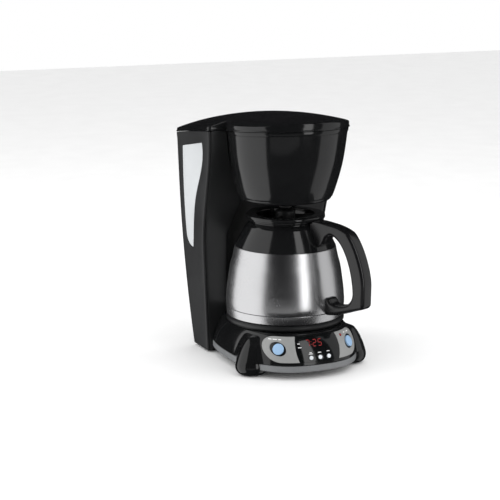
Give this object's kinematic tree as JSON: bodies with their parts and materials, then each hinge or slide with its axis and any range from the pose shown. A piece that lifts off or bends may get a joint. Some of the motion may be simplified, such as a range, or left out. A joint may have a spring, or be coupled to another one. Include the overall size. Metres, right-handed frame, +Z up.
{
  "type": "drip coffee maker",
  "caption": "Counter-top drip coffee maker with rear water tower, round brew head under a hinged lid, clock panel and a steel thermal carafe that slides out",
  "frame": {"origin": "middle of the footprint box on the surface that the feet stand on", "axes": "+Z up, the control panel and carafe face -Y, +X is the right-hand side seen from the front"},
  "size_m": [0.196, 0.2868, 0.3341],
  "materials": {
    "gloss_black_plastic": "polished black moulding",
    "satin_black_plastic": "satin black moulding",
    "textured_grey_plastic": "fine spark-eroded grain",
    "silver_panel_plastic": "satin silver paint",
    "grey_trim_plastic": "satin grey",
    "brushed_steel": "brushed, vertical grain",
    "window_plastic": "frosted translucent",
    "clear_display_plastic": "smoked clear",
    "blue_button_plastic": "pale translucent blue",
    "white_plastic": "moulded white",
    "red_light_plastic": "clear red",
    "tank_plastic": "natural polypropylene",
    "foot_rubber": "matt",
    "silicone": "translucent silicone",
    "heater_aluminium": "as extruded",
    "zinc_steel": "zinc plated",
    "circuit_board": "solder resist"
  },
  "bodies": {
    "housing": {"base_shell": "gloss_black_plastic", "brew_head_shell": "gloss_black_plastic", "bottom_cover": "satin_black_plastic", "carafe_platform": "satin_black_plastic", "tower_shell": "satin_black_plastic", "rear_cover": "satin_black_plastic", "brew_basket": "satin_black_plastic", "side_panel_left": "textured_grey_plastic", "side_panel_right": "textured_grey_plastic", "control_fascia": "silver_panel_plastic", "base_trim_band": "grey_trim_plastic", "water_window": "window_plastic", "display_window": "clear_display_plastic", "clock_module": "clear_display_plastic", "check_valve": "white_plastic", "riser_tube": "white_plastic", "power_light": "red_light_plastic", "reservoir_tank": "tank_plastic", "rubber_foot_front_left": "foot_rubber", "rubber_foot_front_right": "foot_rubber", "rubber_foot_rear_left": "foot_rubber", "rubber_foot_rear_right": "foot_rubber", "cord_gland": "foot_rubber", "cold_water_hose": "silicone", "hot_water_hose": "silicone", "heater_tube": "heater_aluminium", "cover_screw_1": "zinc_steel", "cover_screw_2": "zinc_steel", "cover_screw_3": "zinc_steel", "cover_screw_4": "zinc_steel", "thermostat": "zinc_steel", "hinge_pin_left": "zinc_steel", "hinge_pin_right": "zinc_steel", "control_board": "circuit_board"},
    "carafe": {"carafe_shell": "brushed_steel", "carafe_foot": "brushed_steel", "carafe_liner": "brushed_steel", "carafe_collar": "gloss_black_plastic", "carafe_handle": "gloss_black_plastic"},
    "carafe_lid": {"carafe_lid": "gloss_black_plastic", "carafe_lid_gasket": "silicone", "brew_through_hub": "satin_black_plastic"},
    "lid": {"lid_cover": "gloss_black_plastic", "lid_water_channel": "satin_black_plastic", "shower_head": "satin_black_plastic"},
    "drip_valve": {"drip_valve": "satin_black_plastic", "valve_spring": "zinc_steel"},
    "button_brew_later": {"button_brew_later": "blue_button_plastic"},
    "button_on_off": {"button_on_off": "blue_button_plastic"},
    "button_program": {"button_program": "white_plastic"},
    "button_hour": {"button_hour": "white_plastic"},
    "button_minute": {"button_minute": "white_plastic"}
  },
  "joints": [
    {"name": "lid_hinge", "type": "hinge", "parent": "housing", "child": "lid", "pos_m": [0, 0.13945, 0.2972], "axis": [-1, 0, 0], "range_deg": [0, 95]},
    {"name": "carafe_out", "type": "slide", "parent": "housing", "child": "carafe", "axis": [0, -1, 0], "range_m": [0, 0.25]},
    {"name": "carafe_lid_turn", "type": "hinge", "parent": "carafe", "child": "carafe_lid", "pos_m": [0, -0.00995, 0.19], "axis": [0, 0, 1], "range_deg": [0, 60]},
    {"name": "drip_valve_lift", "type": "slide", "parent": "housing", "child": "drip_valve", "axis": [0, 0, 1], "range_m": [0, 0.004], "stiffness_N_per_m": 150, "springref_m": -0.003},
    {"name": "button_brew_later_press", "type": "slide", "parent": "housing", "child": "button_brew_later", "axis": [0.5613, 0.7044, -0.4345], "range_m": [0, 0.0012], "stiffness_N_per_m": 900, "springref_m": -0.0006},
    {"name": "button_on_off_press", "type": "slide", "parent": "housing", "child": "button_on_off", "axis": [-0.5613, 0.7044, -0.4345], "range_m": [0, 0.0012], "stiffness_N_per_m": 900, "springref_m": -0.0006},
    {"name": "button_program_press", "type": "slide", "parent": "housing", "child": "button_program", "axis": [0.0699, 0.9549, -0.2886], "range_m": [0, 0.0012], "stiffness_N_per_m": 900, "springref_m": -0.0006},
    {"name": "button_hour_press", "type": "slide", "parent": "housing", "child": "button_hour", "axis": [0, 0.9576, -0.288], "range_m": [0, 0.0012], "stiffness_N_per_m": 900, "springref_m": -0.0006},
    {"name": "button_minute_press", "type": "slide", "parent": "housing", "child": "button_minute", "axis": [-0.0699, 0.9549, -0.2886], "range_m": [0, 0.0012], "stiffness_N_per_m": 900, "springref_m": -0.0006}
  ]
}
